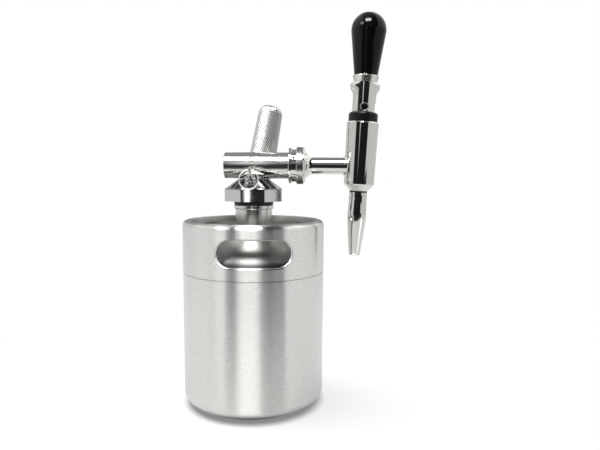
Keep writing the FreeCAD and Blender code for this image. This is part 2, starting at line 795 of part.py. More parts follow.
def gas_charger():
    """The gas port with its check valve and pin, and the holder with its cartridge."""
    collar_low = -seat_gap - port_collar_length
    collar_high = -seat_gap
    tail_end = collar_low - port_tail_length + seat_gap
    socket_foot = port_floor
    piece("gas_port", turned("GasPort", [
        (cage_radius, tail_end),
        (port_tail, tail_end),
        (port_tail, collar_low),
        (port_collar - 0.6, collar_low),
        (port_collar, collar_low + 0.6),
        (port_collar, collar_high),
        (port_stud, collar_high),
        (port_stud, port_stud_length - 0.6),
        (port_stud - 0.6, port_stud_length),
        (port_socket, port_stud_length),
        (port_socket, socket_foot),
        (pin_hole, socket_foot),
        (pin_hole, -ball_seat),
        (cage_radius, -ball_seat),
    ], port_axis))
    ball_middle = -ball_seat - ball_drop
    ball = doc.addObject("Part::Sphere", "CheckBall")
    bind(ball, "Radius", ball_radius)
    piece("check_ball", place(ball, port_axis, ball_middle))
    spring_foot = collar_low - port_tail_length + 0.1
    spring_top = ball_middle - ball_radius - 0.1
    piece("check_spring", ring(
        "CheckSpring", channel_radius + 0.1, cage_radius - 0.1, spring_foot, spring_top, port_axis,
    ))
    pin_top = socket_foot + pin_base + pin_length
    piece("piercing_pin", turned("PiercingPin", [
        (pin_hole * 0.5, socket_foot),
        (port_socket - weld_gap, socket_foot),
        (port_socket - weld_gap, socket_foot + pin_base),
        (pin_radius, socket_foot + pin_base),
        (pin_radius, pin_top - 0.6),
        (pin_hole * 0.5 + 0.1, pin_top),
        (pin_hole * 0.5, pin_top),
    ], port_axis))
    seal_foot = socket_foot + pin_base
    seal_top = seal_foot + port_seal_thick
    piece("port_seal", ring("PortSeal", pin_radius + 0.3, port_socket - 0.2, seal_foot, seal_top, port_axis))

    cavity_top = holder_length - holder_roof
    cavity_shoulder = cavity_top - holder_bore + holder_tip / 2
    mouth_top = port_stud_length + seat_gap
    piece("charger_holder", turned("Holder", [
        (port_stud + thread_gap, 0),
        (holder_foot - 0.6, 0),
        (holder_foot, 0.6),
        (holder_top, holder_shoulder, holder_round, 1),
        (holder_tip, holder_length),
        (0, holder_length),
        (0, cavity_top),
        (holder_tip / 2, cavity_top, holder_bore, -1),
        (holder_bore, cavity_shoulder),
        (holder_bore, mouth_top),
        (port_stud + thread_gap, mouth_top),
    ], port_axis))
    tip = seal_top + seat_gap
    neck_end = tip + cartridge_neck_length
    shoulder = neck_end + cartridge_shoulder
    slack = holder_bore - cartridge_radius
    base_shoulder = cavity_shoulder - slack
    base_top = cavity_top - slack * 2
    piece("gas_cartridge", turned("Cartridge", [
        (0, tip),
        (cartridge_neck - 0.5, tip),
        (cartridge_neck, tip + 0.5),
        (cartridge_neck, neck_end),
        (cartridge_radius, shoulder),
        (cartridge_radius, base_shoulder, cartridge_radius, 1),
        (holder_tip / 2, base_top),
        (0, base_top),
    ], port_axis))


def coupling():
    """The coupling nut with its spanner holes, and the seal inside it."""
    left = coupling_left
    right = left + coupling_length
    groove_left = left + coupling_flange
    groove_right = groove_left + coupling_groove
    lip_right = left + coupling_lip
    nut = turned("CouplingTurned", [
        (tube_radius + thread_gap / 2, left),
        (coupling_radius - 0.5, left),
        (coupling_radius, left + 0.5),
        (coupling_radius, groove_left - 0.4),
        (coupling_groove_radius, groove_left),
        (coupling_groove_radius, groove_right),
        (coupling_radius, groove_right + 0.4),
        (coupling_radius, right - coupling_bevel),
        (coupling_radius - coupling_bevel, right),
        (coupling_bore, right),
        (coupling_bore, lip_right),
        (tube_radius + thread_gap / 2, lip_right),
    ], tube_axis)
    middle = left + coupling_flange + coupling_groove / 2
    holes = []
    for number in range(4):
        hole_axis = Axis((middle, 0, tube_height), 90, spanner_turn + 90 * number - 90)
        holes.append(rod(f"SpannerHole{number}", spanner_hole, 0, coupling_radius + 1, hole_axis))
    piece("coupling_nut", cut("CouplingNut", nut, *holes))
    flange_end = lip_right + seat_gap / 2 + tube_flange
    seal_end = flange_end + shank_seal_thick
    piece("shank_seal", ring("ShankSeal", shank_radius, coupling_bore - 0.6, flange_end, seal_end, tube_axis))
    return seal_end


def faucet(shank_foot):
    """The stout faucet: body with its shank, upper barrel, spout and valve."""
    right = coupling_left + coupling_length
    socket = joint_spigot + weld_gap
    barrel = turned("BarrelTurned", [
        (0, outlet_along),
        (outlet_radius, outlet_along),
        (barrel_low - 0.4, barrel_foot),
        (barrel_low, barrel_foot + 1),
        (barrel_joint, joint_along),
        (0, joint_along),
    ], tap_axis)
    flare_end = right + 0.7 + shank_flare
    shank = turned("ShankTurned", [
        (0, shank_foot),
        (coupling_bore - thread_gap, shank_foot),
        (coupling_bore - thread_gap, right - 0.3),
        (shank_mouth, right + 0.3, shank_flare * 1.3, -1),
        (shank_radius, flare_end),
        (shank_radius, tap_reach),
        (0, tap_reach),
    ], tube_axis)
    blank = rounded("FaucetBlank", fused("FaucetFused", barrel, shank), weld_fillet, on_shank_root)
    cavity = rod("BarrelCavity", barrel_bore, seat_along, joint_along + 1, tap_axis)
    joint_bore = rod(
        "JointBore", socket, joint_along - joint_spigot_length - seat_gap, joint_along + 1, tap_axis,
    )
    outlet = rod("Outlet", spigot_radius + weld_gap, outlet_along - 1, seat_along + 1, tap_axis)
    shank_way = rod("ShankWay", shank_bore, shank_foot - 1, tap_reach, tube_axis)
    piece("faucet_body", cut("FaucetBody", blank, cavity, joint_bore, outlet, shank_way))

    piece("bonnet_barrel", turned("BonnetBarrel", [
        (barrel_bore, joint_along - joint_spigot_length),
        (joint_spigot, joint_along - joint_spigot_length),
        (joint_spigot, joint_along),
        (barrel_joint, joint_along),
        (barrel_high, barrel_top - barrel_bevel),
        (barrel_high - barrel_bevel, barrel_top),
        (barrel_bore, barrel_top),
    ], tap_axis))

    neck_foot = outlet_along - spout_neck_length
    spigot_top = seat_along - seat_gap
    disc_seat = spigot_top - disc_thick - 0.1
    piece("spout", turned("Spout", [
        (disc_radius + weld_gap, spigot_top),
        (disc_radius + weld_gap, disc_seat),
        (spout_bore, disc_seat),
        (spout_bore, spout_knee_along),
        (spout_mouth, spout_tip_along),
        (spout_tip, spout_tip_along),
        (spout_knee, spout_knee_along, spout_curve / 2, -1),
        (spout_belly, spout_belly_along, spout_curve, -1),
        (spout_waist, spout_waist_along),
        (spout_radius, neck_foot - 2),
        (spout_radius, neck_foot),
        (spout_neck, neck_foot),
        (spout_neck, outlet_along),
        (spigot_radius, outlet_along),
        (spigot_radius, spigot_top),
    ], tap_axis))
    ring_middle = (outlet_along + neck_foot) / 2
    piece("spout_ring", hoop(
        "SpoutRing", spout_neck + weld_gap + spout_ring_wire, spout_ring_wire, ring_middle, tap_axis,
    ))
    disc = rod("DiscBlank", disc_radius, disc_seat, disc_seat + disc_thick, tap_axis)
    holes = []
    for number in range(5):
        turn = 72 * number
        across = disc_circle * math.cos(math.radians(turn))
        side = disc_circle * math.sin(math.radians(turn))
        foot = tap_axis.point(disc_seat - 1)
        foot[0] = foot[0] + across * cosine(tap_lean)
        foot[1] = foot[1] + side
        foot[2] = foot[2] - across * sine(tap_lean)
        holes.append(rod(f"DiscHole{number}", disc_hole, 0, disc_thick + 2, Axis(foot, 0, tap_lean)))
    piece("restrictor_disc", cut("RestrictorDisc", disc, *holes))


def on_shank_root(edge):
    """Is this edge where the shank enters the barrel?"""
    box = edge.BoundBox
    near = tap_reach.value - barrel_joint.value - 4
    return (
        box.XMin > near
        and abs(box.YLength - 2 * shank_radius.value) < 0.5
        and abs(box.ZLength - 2 * shank_radius.value) < 0.5
    )


def valve_and_lever():
    """The valve shaft, the collar that guides it, and the lever with its knob."""
    collar_foot = barrel_top
    gland_foot = collar_foot - collar_gland
    gland = barrel_bore - weld_gap
    guide = shaft_radius + running_gap
    groove_low = shaft_ring_along - ring_wire - weld_gap
    groove_high = shaft_ring_along + ring_wire + weld_gap
    groove = guide + ring_wire * 2 + weld_gap * 2
    piece("bonnet_collar", turned("BonnetCollar", [
        (guide, gland_foot),
        (gland, gland_foot),
        (gland, collar_foot),
        (collar_radius, collar_foot),
        (collar_radius, collar_top - collar_bevel),
        (collar_radius - collar_bevel * 0.4, collar_top - collar_bevel * 0.35),
        (collar_radius - collar_bevel, collar_top),
        (guide, collar_top),
        (guide, groove_high),
        (groove, groove_high),
        (groove, groove_low),
        (guide, groove_low),
    ], tap_axis))
    piece("shaft_ring", hoop(
        "ShaftRing", shaft_radius + running_gap + ring_wire, ring_wire, shaft_ring_along, tap_axis,
    ))

    seal_top = seat_along + seat_seal_thick
    disc_top = seal_top + shaft_disc_thick
    shaft_top = pivot_along + shaft_radius
    shaft = turned("ShaftTurned", [
        (0, seal_top),
        (shaft_disc, seal_top),
        (shaft_disc, disc_top),
        (shaft_waist, disc_top + 2),
        (shaft_waist, shaft_waist_along),
        (shaft_radius, shaft_waist_along + 1),
        (shaft_radius, pivot_along, shaft_radius, 1),
        (0, shaft_top),
    ], tap_axis)
    pivot = Axis(tap_axis.point(pivot_along), 90, 90)
    pivot_hole = pivot_radius + running_gap
    shaft_eye = rod("ShaftEye", pivot_hole, -shaft_radius * 2, shaft_radius * 2, pivot)
    piece("valve_shaft", cut("ValveShaft", shaft, shaft_eye))
    piece("seat_seal", rod("SeatSeal", seat_seal_radius, seat_along, seal_top, tap_axis))

    lever_foot = collar_top + seat_gap
    heel = lever_heel
    sleeve = rod("SleeveBlank", lever_radius, lever_foot, lever_top_along, tap_axis)
    heel_cut = lever_block("HeelCut", [
        (lever_radius - heel, lever_foot - 1),
        (lever_radius + 1, lever_foot - 1),
        (lever_radius + 1, lever_foot + heel),
        (lever_radius, lever_foot + heel, heel, -1),
        (lever_radius - heel, lever_foot),
    ], lever_radius * 2.2)
    ear_top = lever_top_along - 0.3
    ear_low = ear_top - ear_height
    ear_foot = ear_low - ear_fade
    ears = []
    for side, name in ((1, "RightEar"), (-1, "LeftEar")):
        out = (ear_reach - ear_round) * side
        ear_axis = Axis((tap_reach + out * cosine(tap_lean), 0, tube_height - out * sine(tap_lean)), 0, tap_lean)
        ears.append(turned(name, [
            (0, ear_foot),
            (ear_round * 0.25, ear_foot, ear_curve, -1),
            (ear_round * 0.7, ear_foot + ear_fade * 0.5, ear_curve * 0.6, 1),
            (ear_round, ear_low),
            (ear_round, ear_top - 1.2),
            (ear_round - 1.2, ear_top),
            (0, ear_top),
        ], ear_axis))
    slot = lever_block("LeverSlot", [
        (-shaft_radius - seat_gap, lever_foot - 1),
        (lever_radius + 4, lever_foot - 1),
        (lever_radius + 4, lever_slot_top - 3),
        (shaft_radius + seat_gap, lever_slot_top),
        (-shaft_radius - seat_gap, lever_slot_top),
    ], lever_slot * 2)
    side_holes = rod("LeverSideHoles", pivot_hole, -lever_radius * 2, lever_radius * 2, pivot)
    head_seat = lever_radius - pivot_head_depth - seat_gap
    head_hole = turned("LeverHeadHole", [
        (0, -lever_radius * 2),
        (pivot_recess, -lever_radius * 2),
        (pivot_recess, -lever_radius + 0.3),
        (pivot_head + 0.15, -lever_radius + 0.8),
        (pivot_head + 0.15, -head_seat),
        (0, -head_seat),
    ], pivot)
    stud_hole = rod("LeverStudHole", stud_radius + running_gap, stud_low - seat_gap, lever_top_along + 1, tap_axis)
    piece("lever_sleeve", cut(
        "LeverSleeve", fused("LeverBlank", sleeve, *ears), heel_cut, slot, side_holes, head_hole, stud_hole,
    ))

    screw = turned("ScrewTurned", [
        (0, -head_seat - pivot_head_depth),
        (pivot_head - 0.4, -head_seat - pivot_head_depth),
        (pivot_head, -head_seat - pivot_head_depth + 0.4),
        (pivot_head, -head_seat),
        (pivot_radius, -head_seat),
        (pivot_radius, lever_radius - 1.5),
        (0, lever_radius - 1.5),
    ], pivot)
    socket = doc.addObject("Part::Prism", "ScrewSocket")
    socket.Polygon = 6
    bind(socket, "Circumradius", pivot_socket)
    bind(socket, "Height", pivot_head_depth)
    place(socket, pivot, -head_seat - pivot_head_depth - 0.6)
    piece("pivot_screw", cut("PivotScrew", screw, socket))

    ferrule_top = ferrule_foot + ferrule_length
    stud_bore = stud_radius + running_gap
    piece("ferrule", turned("Ferrule", [
        (stud_bore, ferrule_foot),
        (ferrule_radius - 0.4, ferrule_foot),
        (ferrule_radius, ferrule_foot + 0.4),
        (ferrule_radius, ferrule_top - 0.4),
        (ferrule_radius - 0.4, ferrule_top),
        (stud_bore, ferrule_top),
    ], tap_axis))
    piece("knob_stud", rod("KnobStud", stud_radius, stud_low, stud_high, tap_axis))
    knob_low = ferrule_top + 0.1
    knob_top = knob_low + knob_length
    flank_top = knob_low + knob_flank
    ball_middle = knob_top - knob_radius
    below = ball_middle - flank_top
    flank_radius = root(knob_radius * knob_radius - below * below)
    stud_room = stud_high + 0.5
    piece("tap_knob", turned("TapKnob", [
        (stud_bore, knob_low),
        (knob_foot - 0.8, knob_low),
        (knob_foot, knob_low + 0.8),
        (flank_radius, flank_top, knob_radius, 1),
        (knob_radius, ball_middle, knob_radius, 1),
        (0, knob_top),
        (0, stud_room),
        (stud_bore, stud_room),
    ], tap_axis))


def lever_block(name, corners, width):
    """A block across the lever, drawn from the front: (across, along the tap axis)."""
    body = doc.addObject("PartDesign::Body", name)
    sketch = new_sketch(body, "XZ_Plane")
    draw_outline(sketch, corners)
    pad = body.newObject("PartDesign::Pad", "Block")
    pad.Profile = sketch
    pad.Midplane = True
    bind(pad, "Length", width)
    body.Tip = pad
    return place(body, tap_axis)


def check_and_write():
    """Stop on anything that failed, then write one file for each piece."""
    doc.recompute()
    for thing in doc.Objects:
        if "Invalid" in thing.State or "Error" in thing.State:
            raise RuntimeError(f"{thing.Label} failed: {thing.State}")
    os.makedirs("parts", exist_ok=True)
    for thing in pieces:
        shape = thing.Shape
        if shape.isNull() or not shape.isValid() or not shape.Solids:
            raise RuntimeError(f"{thing.Label} has no sound solid")
        shape.exportStep(f"parts/{thing.Label}.step")
    print(len(pieces), "pieces written")


keg()
head()
relief_valve()
gas_charger()
faucet(coupling())
valve_and_lever()
check_and_write()
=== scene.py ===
"""The nitro coffee keg: finishes for its pieces, the knurled pieces, the studio and the camera."""
import json
import math
import bmesh
import bpy
from mathutils import Matrix, Vector

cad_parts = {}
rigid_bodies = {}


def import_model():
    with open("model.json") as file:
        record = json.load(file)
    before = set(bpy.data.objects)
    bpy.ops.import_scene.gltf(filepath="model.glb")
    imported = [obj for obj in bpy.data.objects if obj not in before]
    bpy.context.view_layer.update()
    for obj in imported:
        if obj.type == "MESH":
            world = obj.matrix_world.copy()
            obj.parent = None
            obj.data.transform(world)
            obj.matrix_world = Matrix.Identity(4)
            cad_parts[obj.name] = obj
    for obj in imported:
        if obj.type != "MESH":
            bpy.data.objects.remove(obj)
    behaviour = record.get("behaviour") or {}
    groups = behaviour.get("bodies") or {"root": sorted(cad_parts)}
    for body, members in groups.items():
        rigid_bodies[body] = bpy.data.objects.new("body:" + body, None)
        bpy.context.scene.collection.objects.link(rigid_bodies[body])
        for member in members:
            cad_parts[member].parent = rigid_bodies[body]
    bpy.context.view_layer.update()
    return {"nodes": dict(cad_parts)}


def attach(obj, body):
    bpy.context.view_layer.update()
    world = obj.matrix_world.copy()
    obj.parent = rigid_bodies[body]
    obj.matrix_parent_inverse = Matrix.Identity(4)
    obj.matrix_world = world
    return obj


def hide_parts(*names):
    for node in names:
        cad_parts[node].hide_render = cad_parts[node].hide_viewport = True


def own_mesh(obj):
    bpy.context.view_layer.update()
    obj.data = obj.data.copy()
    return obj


for spare in list(bpy.data.objects):
    bpy.data.objects.remove(spare)
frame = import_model()

MM = 0.001
WHITE = (1, 1, 1, 1)
UP = Vector((0, 0, 1))
ALONG = Vector((1, 0, 0))
CAMERA_SIDE = math.radians(-82.5)

KEG_RADIUS = 65 * MM
SEAM_HEIGHT = 123 * MM
HAND_HOLE_WIDTH = 62 * MM
HAND_HOLE_HEIGHT = 23 * MM
HAND_HOLE_MIDDLE = 145.7 * MM
HAND_HOLE_TURN = math.radians(7.5)
HOLDER_LENGTH = 61.8 * MM
HOLDER_MOUTH = 13.4 * MM
HOLDER_TOP = 11.55 * MM


# Axes that pieces are turned about.

class Axis:
    """A line that pieces stand on, with its foot, given in millimetres, and its direction."""

    def __init__(self, foot, direction):
        self.foot = Vector(foot) * MM
        self.direction = Vector(direction).normalized()
        self.turn = UP.rotation_difference(self.direction).to_euler()

    def matrix(self):
        return Matrix.Translation(self.foot) @ self.turn.to_matrix().to_4x4()


tap_lean = math.radians(2.9)
keg_axis = Axis((0, 0, 0), UP)
tube_axis = Axis((0, 0, 219.95), ALONG)
tap_axis = Axis((97.5, 0, 219.95), (math.sin(tap_lean), 0, math.cos(tap_lean)))
valve_axis = Axis((0, -19, 203.839), (0, -0.643, 0.766))
holder_axis = Axis((2.2, 25, 211), (0.159064, 0.159064, 0.97437))
pivot_axis = Axis((100.141, -9.5, 272.083), (0, -1, 0))


# Finishes.

class Nodes:
    """A tree of shader nodes being made: adds nodes to it and joins them."""

    def __init__(self, tree):
        self.tree = tree

    def node(self, kind, *sources, **settings):
        """A node of that kind, its inputs in order, each a value or another node's output."""
        node = self.tree.nodes.new("ShaderNode" + kind)
        for key, value in settings.items():
            setattr(node, key, value)
        for place, source in enumerate(sources):
            self.feed(node.inputs[place], source)
        return node

    def feed(self, socket, source):
        if isinstance(source, bpy.types.NodeSocket):
            self.tree.links.new(source, socket)
        elif source is not None:
            socket.default_value = source

    def calc(self, operation, *sources):
        return self.node("Math", *sources, operation=operation).outputs[0]

    def product(self, first, second):
        return self.calc("MULTIPLY", first, second)

    def rest_of(self, share):
        return self.calc("SUBTRACT", 1.0, share)

    def shared(self, first, amount, second, rest):
        """That amount of the first added to the rest of the second."""
        return self.calc("ADD", self.product(first, amount), self.product(second, rest))

    def vector(self, operation, *sources):
        node = self.node("VectorMath", *sources, operation=operation)
        return node.outputs["Value" if operation in ("LENGTH", "DOT_PRODUCT") else "Vector"]

    def noise(self, place, scale, detail=2.0, turn=None):
        """Noise from 0 to 1 at that place, in four dimensions where a turn is given."""
        node = self.node("TexNoise", noise_dimensions="3D" if turn is None else "4D")
        self.feed(node.inputs["Vector"], place)
        if turn is not None:
            self.feed(node.inputs["W"], turn)
        node.inputs["Scale"].default_value = scale
        node.inputs["Detail"].default_value = detail
        return node.outputs["Fac"]

    def spread(self, source, low, high, start=0.0, end=1.0, smooth=False):
        """The source's range from start to end, spread over low to high."""
        node = self.node("MapRange", source, start, end, low, high)
        node.interpolation_type = "SMOOTHSTEP" if smooth else "LINEAR"
        return node.outputs[0]

    def rising(self, source, start, end, smooth=False):
        """0 up to the start and 1 from the end on."""
        return self.spread(source, 0.0, 1.0, start, end, smooth)

    def falling(self, source, start, end, smooth=False):
        """1 up to the start and 0 from the end on."""
        return self.spread(source, 1.0, 0.0, start, end, smooth)

    def blend(self, amount, first, second):
        """The first colour or its second by the amount."""
        node = self.tree.nodes.new("ShaderNodeMix")
        node.data_type = "RGBA"
        self.feed(node.inputs["Factor"], amount)
        self.feed(node.inputs["A"], first)
        self.feed(node.inputs["B"], second)
        return node.outputs["Result"]

    def camera_sees(self):
        return self.node("LightPath").outputs["Is Camera Ray"]

    def glow(self, strength):
        return self.node("Emission", WHITE, strength).outputs[0]


class Finish(Nodes):
    """A material being made, with its shader."""

    def __init__(self, name, colour, metallic, roughness, specular=0.5):
        self.material = bpy.data.materials.new(name)
        self.material.use_nodes = True
        super().__init__(self.material.node_tree)
        self.shader = self.tree.nodes["Principled BSDF"]
        self.shader.inputs["Base Color"].default_value = (*colour, 1)
        self.shader.inputs["Metallic"].default_value = metallic
        self.shader.inputs["Roughness"].default_value = roughness
        self.shader.inputs["Specular IOR Level"].default_value = specular

    def set(self, **sources):
        """Feeds the shader's inputs, named with _ for each space."""
        for key, source in sources.items():
            self.feed(self.shader.inputs[key.replace("_", " ")], source)

    def bump(self, height, distance):
        node = self.tree.nodes.new("ShaderNodeBump")
        node.inputs["Strength"].default_value = 1.0
        node.inputs["Distance"].default_value = distance
        self.feed(node.inputs["Height"], height)
        self.set(Normal=node.outputs["Normal"])

    def show(self, surface):
        """Shows that in place of the plain shader."""
        self.feed(self.tree.nodes["Material Output"].inputs["Surface"], surface)


def metres(finish):
    return finish.node("TexCoord").outputs["Object"]


def about(finish, axis):
    """Where a place lies about an axis: radius, height, and the two parts of its direction."""
    mapping = finish.node("Mapping", metres(finish), vector_type="TEXTURE")
    mapping.inputs["Location"].default_value = axis.foot
    mapping.inputs["Rotation"].default_value = axis.turn
    x, y, z = finish.node("SeparateXYZ", mapping.outputs[0]).outputs
    radius = finish.vector("LENGTH", finish.node("CombineXYZ", x, y, 0.0).outputs[0])
    return radius, z, finish.calc("DIVIDE", x, radius), finish.calc("DIVIDE", y, radius)


def lines_around(finish, seat, streak, scale, detail):
    """Noise drawn out round an axis, the longer the smaller the streak."""
    radius, along, side, front = seat
    place = finish.node("CombineXYZ", radius, along, finish.product(side, streak)).outputs[0]
    return finish.noise(place, scale, detail, finish.product(front, streak))


def stretched_across(finish, axis, amount):
    """Highlights drawn out across the turning lines of a piece turned about that axis."""
    arm = finish.vector("SUBTRACT", metres(finish), tuple(axis.foot))
    ring = finish.vector("CROSS_PRODUCT", tuple(axis.direction), arm)
    normal = finish.node("NewGeometry").outputs["Normal"]
    finish.set(Tangent=finish.vector("CROSS_PRODUCT", normal, finish.vector("NORMALIZE", ring)))
    finish.shader.inputs["Anisotropic"].default_value = amount


def turned_metal(name, axis, colour, roughness, lines, depth, streak=2.0, shine=0.0, wander=0.04):
    """Metal turned or brushed around an axis, with lines round it and slow changes of polish."""
    finish = Finish(name, colour, 1.0, roughness)
    fine = lines_around(finish, about(finish, axis), streak * MM, lines, 3.0)
    mixed = finish.shared(fine, 0.6, finish.noise(metres(finish), 90.0, 2.0), 0.4)
    finish.set(Roughness=finish.spread(mixed, roughness - wander, roughness + wander, 0.3, 0.7))
    dark = tuple(0.93 * part for part in colour)
    finish.set(Base_Color=finish.blend(fine, (*colour, 1), (*dark, 1)))
    finish.bump(fine, depth)
    if shine:
        stretched_across(finish, axis, shine)
    return finish


def brushed_keg():
    """The keg's steel, brushed round with a fine grain, polished on the neck, dull and painted
    darker in the well.
    """
    finish = Finish("BrushedKegSteel", (0.83, 0.825, 0.8), 1.0, 0.28)
    seat = about(finish, keg_axis)
    radius, along = seat[:2]
    lines = lines_around(finish, seat, 0.0045, 2600.0, 4.0)
    grain = lines_around(finish, seat, 0.02, 1500.0, 2.0)
    mixed = finish.shared(lines, 0.5, grain, 0.5)
    neck = finish.falling(radius, 18.5 * MM, 26 * MM, smooth=True)
    shiny = finish.product(neck, finish.rising(along, 160 * MM, 165 * MM))
    well = finish.falling(radius, 62.8 * MM, 64.2 * MM)
    well = finish.product(well, finish.rising(along, 130 * MM, 135 * MM))
    # The well is rough and dull, and keg_colour paints it darker there as shade.
    dull_and_shaded_well = finish.product(well, finish.rest_of(shiny))
    cloud = finish.noise(metres(finish), 24.0, 3.0)
    rough = finish.spread(mixed, 0.27, 0.33, 0.3, 0.7)
    rough = finish.calc("ADD", rough, finish.spread(cloud, -0.02, 0.02))
    rough = finish.product(rough, finish.spread(shiny, 1.0, 0.5))
    finish.set(Roughness=finish.product(rough, finish.spread(dull_and_shaded_well, 1.0, 1.9)))
    finish.set(Base_Color=keg_colour(finish, seat, dull_and_shaded_well))
    finish.bump(mixed, 2e-5)
    stretched_across(finish, keg_axis, 1.0)
    return finish


def keg_colour(finish, seat, dull_and_shaded_well):
    """The keg's colour: speckled, with a dark seam line, painted shade in a band round the hand
    hole's lip and at the foot, and the well painted darker, near black deep inside.
    """
    radius, along = seat[:2]
    speckle = finish.rising(lines_around(finish, seat, 0.026, 850.0, 2.0), 0.3, 0.7)
    light = finish.blend(speckle, (0.77, 0.765, 0.745, 1), (0.88, 0.875, 0.855, 1))
    from_lip = beyond_hand_hole(finish, along)
    # Painted shade: a dark band just outside the hand hole's edge, round its lip.
    lip_shade = finish.rising(from_lip, 0.45 * MM, 0.75 * MM)
    lip_shade = finish.product(lip_shade, finish.falling(from_lip, 0.9 * MM, 1.5 * MM))
    from_seam = finish.calc("ABSOLUTE", finish.calc("SUBTRACT", along, SEAM_HEIGHT))
    seam = finish.spread(from_seam, 0.75, 0.0, 0.1 * MM, 0.55 * MM)
    # The seam is a real dark joint line; the band round the hand hole is painted shade.
    seam_line_and_lip_shade = finish.calc("MAXIMUM", finish.product(lip_shade, 0.85), seam)
    seam_line_and_lip_shade = finish.product(seam_line_and_lip_shade, finish.rest_of(dull_and_shaded_well))
    light = finish.blend(seam_line_and_lip_shade, light, (0.3, 0.295, 0.285, 1))
    # Painted shade: the well's inner wall goes near black deep down, under the rim.
    deep_shade = finish.rising(radius, 57 * MM, 60.5 * MM)
    deep_shade = finish.product(deep_shade, finish.falling(along, 149.5 * MM, 155.5 * MM))
    shaded_inside = finish.blend(deep_shade, (0.52, 0.515, 0.5, 1), (0.1, 0.098, 0.095, 1))
    # Painted shade: the keg goes near black in its lowest 6 mm, where it turns under.
    foot = finish.spread(along, 0.95, 0.0, 2.6 * MM, 6.0 * MM, smooth=True)
    return finish.blend(foot, finish.blend(dull_and_shaded_well, light, shaded_inside), (0.05, 0.05, 0.048, 1))


def beyond_hand_hole(finish, along):
    """How far a place on the keg's wall lies outside the edge of the hand hole."""
    x, y, z = finish.node("SeparateXYZ", metres(finish)).outputs
    turned = finish.calc("ARCTAN2", x, finish.product(y, -1.0))
    turned = finish.calc("SUBTRACT", turned, HAND_HOLE_TURN)
    aside = finish.calc("ABSOLUTE", finish.product(turned, KEG_RADIUS))
    straight = (HAND_HOLE_WIDTH - HAND_HOLE_HEIGHT) / 2
    past = finish.calc("MAXIMUM", finish.calc("SUBTRACT", aside, straight), 0.0)
    rise = finish.calc("SUBTRACT", along, HAND_HOLE_MIDDLE)
    away = finish.vector("LENGTH", finish.node("CombineXYZ", past, rise, 0.0).outputs[0])
    return finish.calc("SUBTRACT", away, HAND_HOLE_HEIGHT / 2)


def turned_head():
    """The head's turned steel, with painted shade on the cone under the tube."""
    finish = turned_metal(
        "TurnedHeadSteel", keg_axis, (0.8, 0.795, 0.78), 0.14, 1400.0, 6e-6, 3.0, shine=0.3)
    height = finish.node("SeparateXYZ", metres(finish)).outputs[2]
    # Painted shade: the cone under the tube is coloured darker.
    cone_shade = finish.rising(height, 197.2 * MM, 198.5 * MM, smooth=True)
    bright = finish.shader.inputs["Base Color"].links[0].from_socket
    finish.set(Base_Color=finish.blend(cone_shade, bright, (0.36, 0.355, 0.35, 1)))
    return finish


def brushed_tube():
    """The pressure tube's steel, drawn lengthwise."""
    finish = Finish("DrawnTubeSteel", (0.8, 0.79, 0.77), 1.0, 0.22)
    x, y, z = finish.node("SeparateXYZ", metres(finish)).outputs
    drawn_out = finish.node("CombineXYZ", finish.product(x, 0.02), y, z).outputs[0]
    lines = finish.noise(drawn_out, 2400.0, 4.0)
    finish.set(Roughness=finish.spread(lines, 0.12, 0.2, 0.3, 0.7))
    finish.set(Base_Color=finish.blend(lines, (0.62, 0.61, 0.59, 1), (0.82, 0.81, 0.79, 1)))
    finish.bump(lines, 8e-6)
    normal = finish.node("NewGeometry").outputs["Normal"]
    finish.set(Tangent=finish.vector("CROSS_PRODUCT", normal, tuple(ALONG)))
    finish.shader.inputs["Anisotropic"].default_value = 0.4
    return finish


def knurled_aluminium():
    """The cartridge holder's satin aluminium, with painted shade in the grooves of its knurl."""
    finish = Finish("KnurledAluminium", (0.9, 0.9, 0.89), 1.0, 0.36)
    seat = about(finish, holder_axis)
    radius, along = seat[:2]
    fine = lines_around(finish, seat, 0.002, 1200.0, 3.0)
    dome = finish.rising(along, 61.7 * MM, 62.0 * MM)
    satin = finish.spread(fine, 0.4, 0.5, 0.3, 0.7)
    finish.set(Roughness=finish.product(satin, finish.spread(dome, 1.0, 0.6)))
    crest = finish.spread(along, HOLDER_MOUTH, HOLDER_TOP, 0.0, HOLDER_LENGTH)
    depth = finish.calc("SUBTRACT", crest, radius)
    # Painted shade: the colour darkens in the knurl's grooves.
    groove_shade = finish.rising(depth, 0.08 * MM, 0.5 * MM, smooth=True)
    groove_shade = finish.product(groove_shade, finish.rest_of(dome))
    tone = finish.blend(groove_shade, (0.66, 0.66, 0.65, 1), (0.24, 0.24, 0.235, 1))
    finish.set(Base_Color=finish.blend(dome, tone, (0.74, 0.74, 0.73, 1)))
    finish.bump(fine, 2e-6)
    return finish


def polished(name, colour, roughness):
    """Polished metal with faint hand polishing marks."""
    finish = Finish(name, colour, 1.0, roughness)
    marks = finish.noise(metres(finish), 260.0, 3.0)
    finish.set(Roughness=finish.spread(marks, roughness * 0.6, roughness * 1.5, 0.3, 0.7))
    dark = tuple(0.94 * part for part in colour)
    finish.set(Base_Color=finish.blend(marks, (*colour, 1), (*dark, 1)))
    finish.bump(finish.noise(metres(finish), 120.0, 1.0), 1e-5)
    return finish


def moulded(name, colour, roughness, grain, depth, specular=0.5):
    """Moulded plastic or rubber with a fine grain."""
    finish = Finish(name, colour, 0.0, roughness, specular)
    speckle = finish.noise(metres(finish), grain, 3.0)
    finish.set(Roughness=finish.spread(speckle, roughness * 0.8, roughness * 1.25, 0.3, 0.7))
    light = tuple(1.3 * part + 0.002 for part in colour)
    finish.set(Base_Color=finish.blend(speckle, (*colour, 1), (*light, 1)))
    finish.bump(speckle, depth)
    return finish


